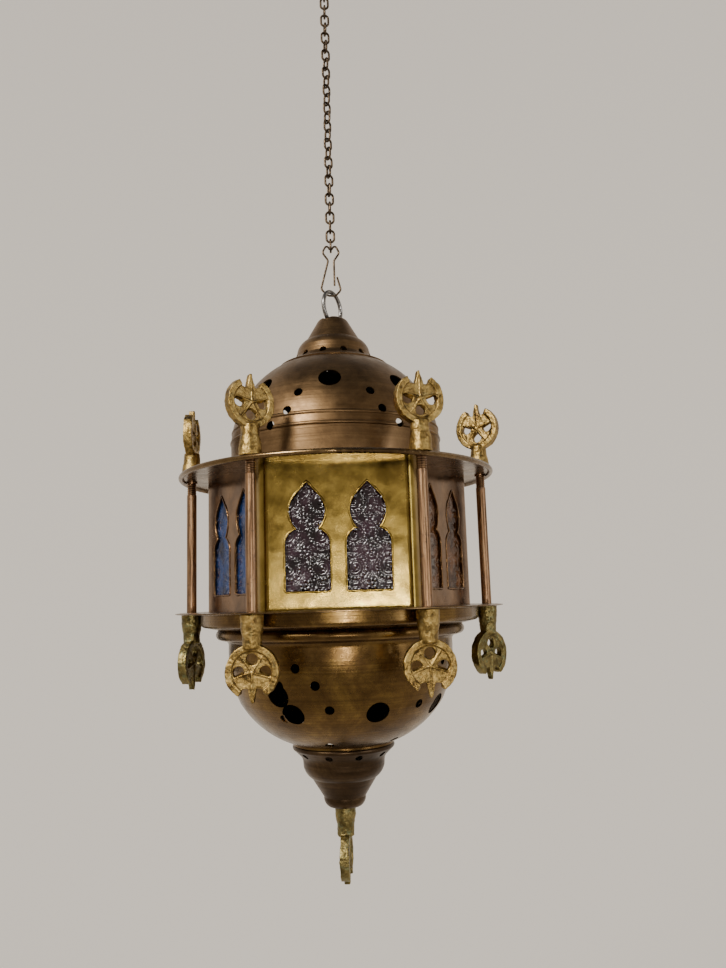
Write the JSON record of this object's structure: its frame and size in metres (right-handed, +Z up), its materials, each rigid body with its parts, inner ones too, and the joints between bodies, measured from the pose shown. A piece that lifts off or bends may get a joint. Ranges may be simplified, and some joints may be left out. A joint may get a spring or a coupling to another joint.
{
  "type": "moroccan metal lantern",
  "caption": "Hanging six-sided brass candle lantern with a pierced dome and bowl, coloured glass windows, star-and-crescent finials, a rear door and a link chain on a ceiling hook.",
  "frame": {"origin": "centre of the ceiling hook's flange, on the face that meets the ceiling; the lantern hangs below it", "axes": "+Z up out of the hook's screw shank, -Y towards the front of the lantern, +X to its right as seen from the front"},
  "size_m": [0.1662, 0.1622, 0.5221],
  "materials": {
    "polished_brass": "polished sheet brass with fine scratches",
    "antique_brass": "spun sheet brass with a brown patina",
    "dark_brass": "spun sheet brass, darkened",
    "cast_brass": "rough sand-cast brass",
    "copper_rod": "copper-brown drawn rod",
    "tab_brass": "thin unpolished brass",
    "chain_metal": "dark brown steel wire",
    "ring_steel": "plain grey steel wire",
    "hook_steel": "plated steel",
    "purple_glass": "pressed glass with a raised scroll pattern",
    "blue_glass": "pressed glass with a raised scroll pattern",
    "amber_glass": "pressed glass with a raised scroll pattern"
  },
  "bodies": {
    "hook": {"ceiling_hook": "hook_steel"},
    "chain_01": {"chain_01": "chain_metal"},
    "chain_02": {"chain_02": "chain_metal"},
    "chain_03": {"chain_03": "chain_metal"},
    "chain_04": {"chain_04": "chain_metal"},
    "chain_05": {"chain_05": "chain_metal"},
    "chain_06": {"chain_06": "chain_metal"},
    "chain_07": {"chain_07": "chain_metal"},
    "chain_08": {"chain_08": "chain_metal"},
    "chain_09": {"chain_09": "chain_metal"},
    "chain_10": {"chain_10": "chain_metal"},
    "chain_11": {"chain_11": "chain_metal"},
    "chain_12": {"chain_12": "chain_metal"},
    "chain_13": {"chain_13": "chain_metal"},
    "chain_14": {"chain_14": "chain_metal"},
    "chain_15": {"chain_15": "chain_metal"},
    "clip": {"wire_clip": "chain_metal"},
    "ring": {"hanging_ring": "ring_steel"},
    "lantern": {"neck_cap": "antique_brass", "dome": "antique_brass", "top_plate": "antique_brass", "bottom_plate": "antique_brass", "lower_bowl": "antique_brass", "lower_cone": "dark_brass", "drum": "polished_brass", "glass_front": "purple_glass", "glass_front_right": "amber_glass", "glass_rear_right": "blue_glass", "glass_rear_left": "purple_glass", "glass_front_left": "blue_glass", "glass_tabs": "tab_brass", "column_front_right": "copper_rod", "column_right": "copper_rod", "column_rear_right": "copper_rod", "column_rear_left": "copper_rod", "column_left": "copper_rod", "column_front_left": "copper_rod", "column_washers": "copper_rod", "upper_finial_front_right": "cast_brass", "upper_finial_right": "cast_brass", "upper_finial_rear_right": "cast_brass", "upper_finial_rear_left": "cast_brass", "upper_finial_left": "cast_brass", "upper_finial_front_left": "cast_brass", "lower_finial_front_right": "cast_brass", "lower_finial_right": "cast_brass", "lower_finial_rear_right": "cast_brass", "lower_finial_rear_left": "cast_brass", "lower_finial_left": "cast_brass", "lower_finial_front_left": "cast_brass", "bottom_finial": "cast_brass", "finial_nut": "hook_steel", "candle_bridge": "tab_brass", "candle_cup": "tab_brass", "candle_rivets": "tab_brass"},
    "door": {"door": "polished_brass", "door_hinge_pin": "copper_rod", "door_knob": "cast_brass", "glass_door": "amber_glass", "door_glass_tabs": "tab_brass"}
  },
  "joints": [
    {"name": "swing_01", "type": "hinge", "parent": "hook", "child": "chain_01", "pos_m": [0, 0, -0.024], "axis": [0, 1, 0], "range_deg": [-60, 60]},
    {"name": "swing_02", "type": "hinge", "parent": "chain_01", "child": "chain_02", "pos_m": [0, 0, -0.03415], "axis": [0.0082, -1, 0], "range_deg": [-60, 60]},
    {"name": "swing_03", "type": "hinge", "parent": "chain_02", "child": "chain_03", "pos_m": [0, 0, -0.04365], "axis": [0.9924, 0.1228, 0], "range_deg": [-60, 60]},
    {"name": "swing_04", "type": "hinge", "parent": "chain_03", "child": "chain_04", "pos_m": [0, 0, -0.05445], "axis": [-0.9675, -0.2529, 0], "range_deg": [-60, 60]},
    {"name": "swing_05", "type": "hinge", "parent": "chain_04", "child": "chain_05", "pos_m": [0, 0, -0.06655], "axis": [-0.3242, 0.946, 0], "range_deg": [-60, 60]},
    {"name": "swing_06", "type": "hinge", "parent": "chain_05", "child": "chain_06", "pos_m": [0, 0, -0.07735], "axis": [0.4602, -0.8878, 0], "range_deg": [-60, 60]},
    {"name": "swing_07", "type": "hinge", "parent": "chain_06", "child": "chain_07", "pos_m": [0, 0, -0.08685], "axis": [0.7972, 0.6037, 0], "range_deg": [-60, 60]},
    {"name": "swing_08", "type": "hinge", "parent": "chain_07", "child": "chain_08", "pos_m": [0, 0, -0.09765], "axis": [-0.7674, -0.6412, 0], "range_deg": [-60, 60]},
    {"name": "swing_09", "type": "hinge", "parent": "chain_08", "child": "chain_09", "pos_m": [0, 0, -0.10975], "axis": [-0.6412, 0.7674, 0], "range_deg": [-60, 60]},
    {"name": "swing_10", "type": "hinge", "parent": "chain_09", "child": "chain_10", "pos_m": [0, 0, -0.12055], "axis": [0.6037, -0.7972, 0], "range_deg": [-60, 60]},
    {"name": "swing_11", "type": "hinge", "parent": "chain_10", "child": "chain_11", "pos_m": [0, 0, -0.13005], "axis": [0.8878, 0.4602, 0], "range_deg": [-60, 60]},
    {"name": "swing_12", "type": "hinge", "parent": "chain_11", "child": "chain_12", "pos_m": [0, 0, -0.14085], "axis": [-0.946, -0.3242, 0], "range_deg": [-60, 60]},
    {"name": "swing_13", "type": "hinge", "parent": "chain_12", "child": "chain_13", "pos_m": [0, 0, -0.15295], "axis": [-0.2529, 0.9675, 0], "range_deg": [-60, 60]},
    {"name": "swing_14", "type": "hinge", "parent": "chain_13", "child": "chain_14", "pos_m": [0, 0, -0.16375], "axis": [0.1228, -0.9924, 0], "range_deg": [-60, 60]},
    {"name": "swing_15", "type": "hinge", "parent": "chain_14", "child": "chain_15", "pos_m": [0, 0, -0.17325], "axis": [1, 0.0082, 0], "range_deg": [-60, 60]},
    {"name": "clip_swing", "type": "hinge", "parent": "chain_15", "child": "clip", "pos_m": [0, 0, -0.18535], "axis": [0, 1, 0], "range_deg": [-50, 50]},
    {"name": "ring_swing", "type": "hinge", "parent": "clip", "child": "ring", "pos_m": [0, 0, -0.21033], "axis": [-1, 0, 0], "range_deg": [-45, 45]},
    {"name": "lantern_swing", "type": "hinge", "parent": "ring", "child": "lantern", "pos_m": [0, 0, -0.2259], "axis": [0.515, 0.8572, 0], "range_deg": [-18, 18]},
    {"name": "door_hinge", "type": "hinge", "parent": "lantern", "child": "door", "pos_m": [-0.0289, 0.0597, -0.3432], "axis": [0, 0, 1], "range_deg": [0, 100]}
  ]
}
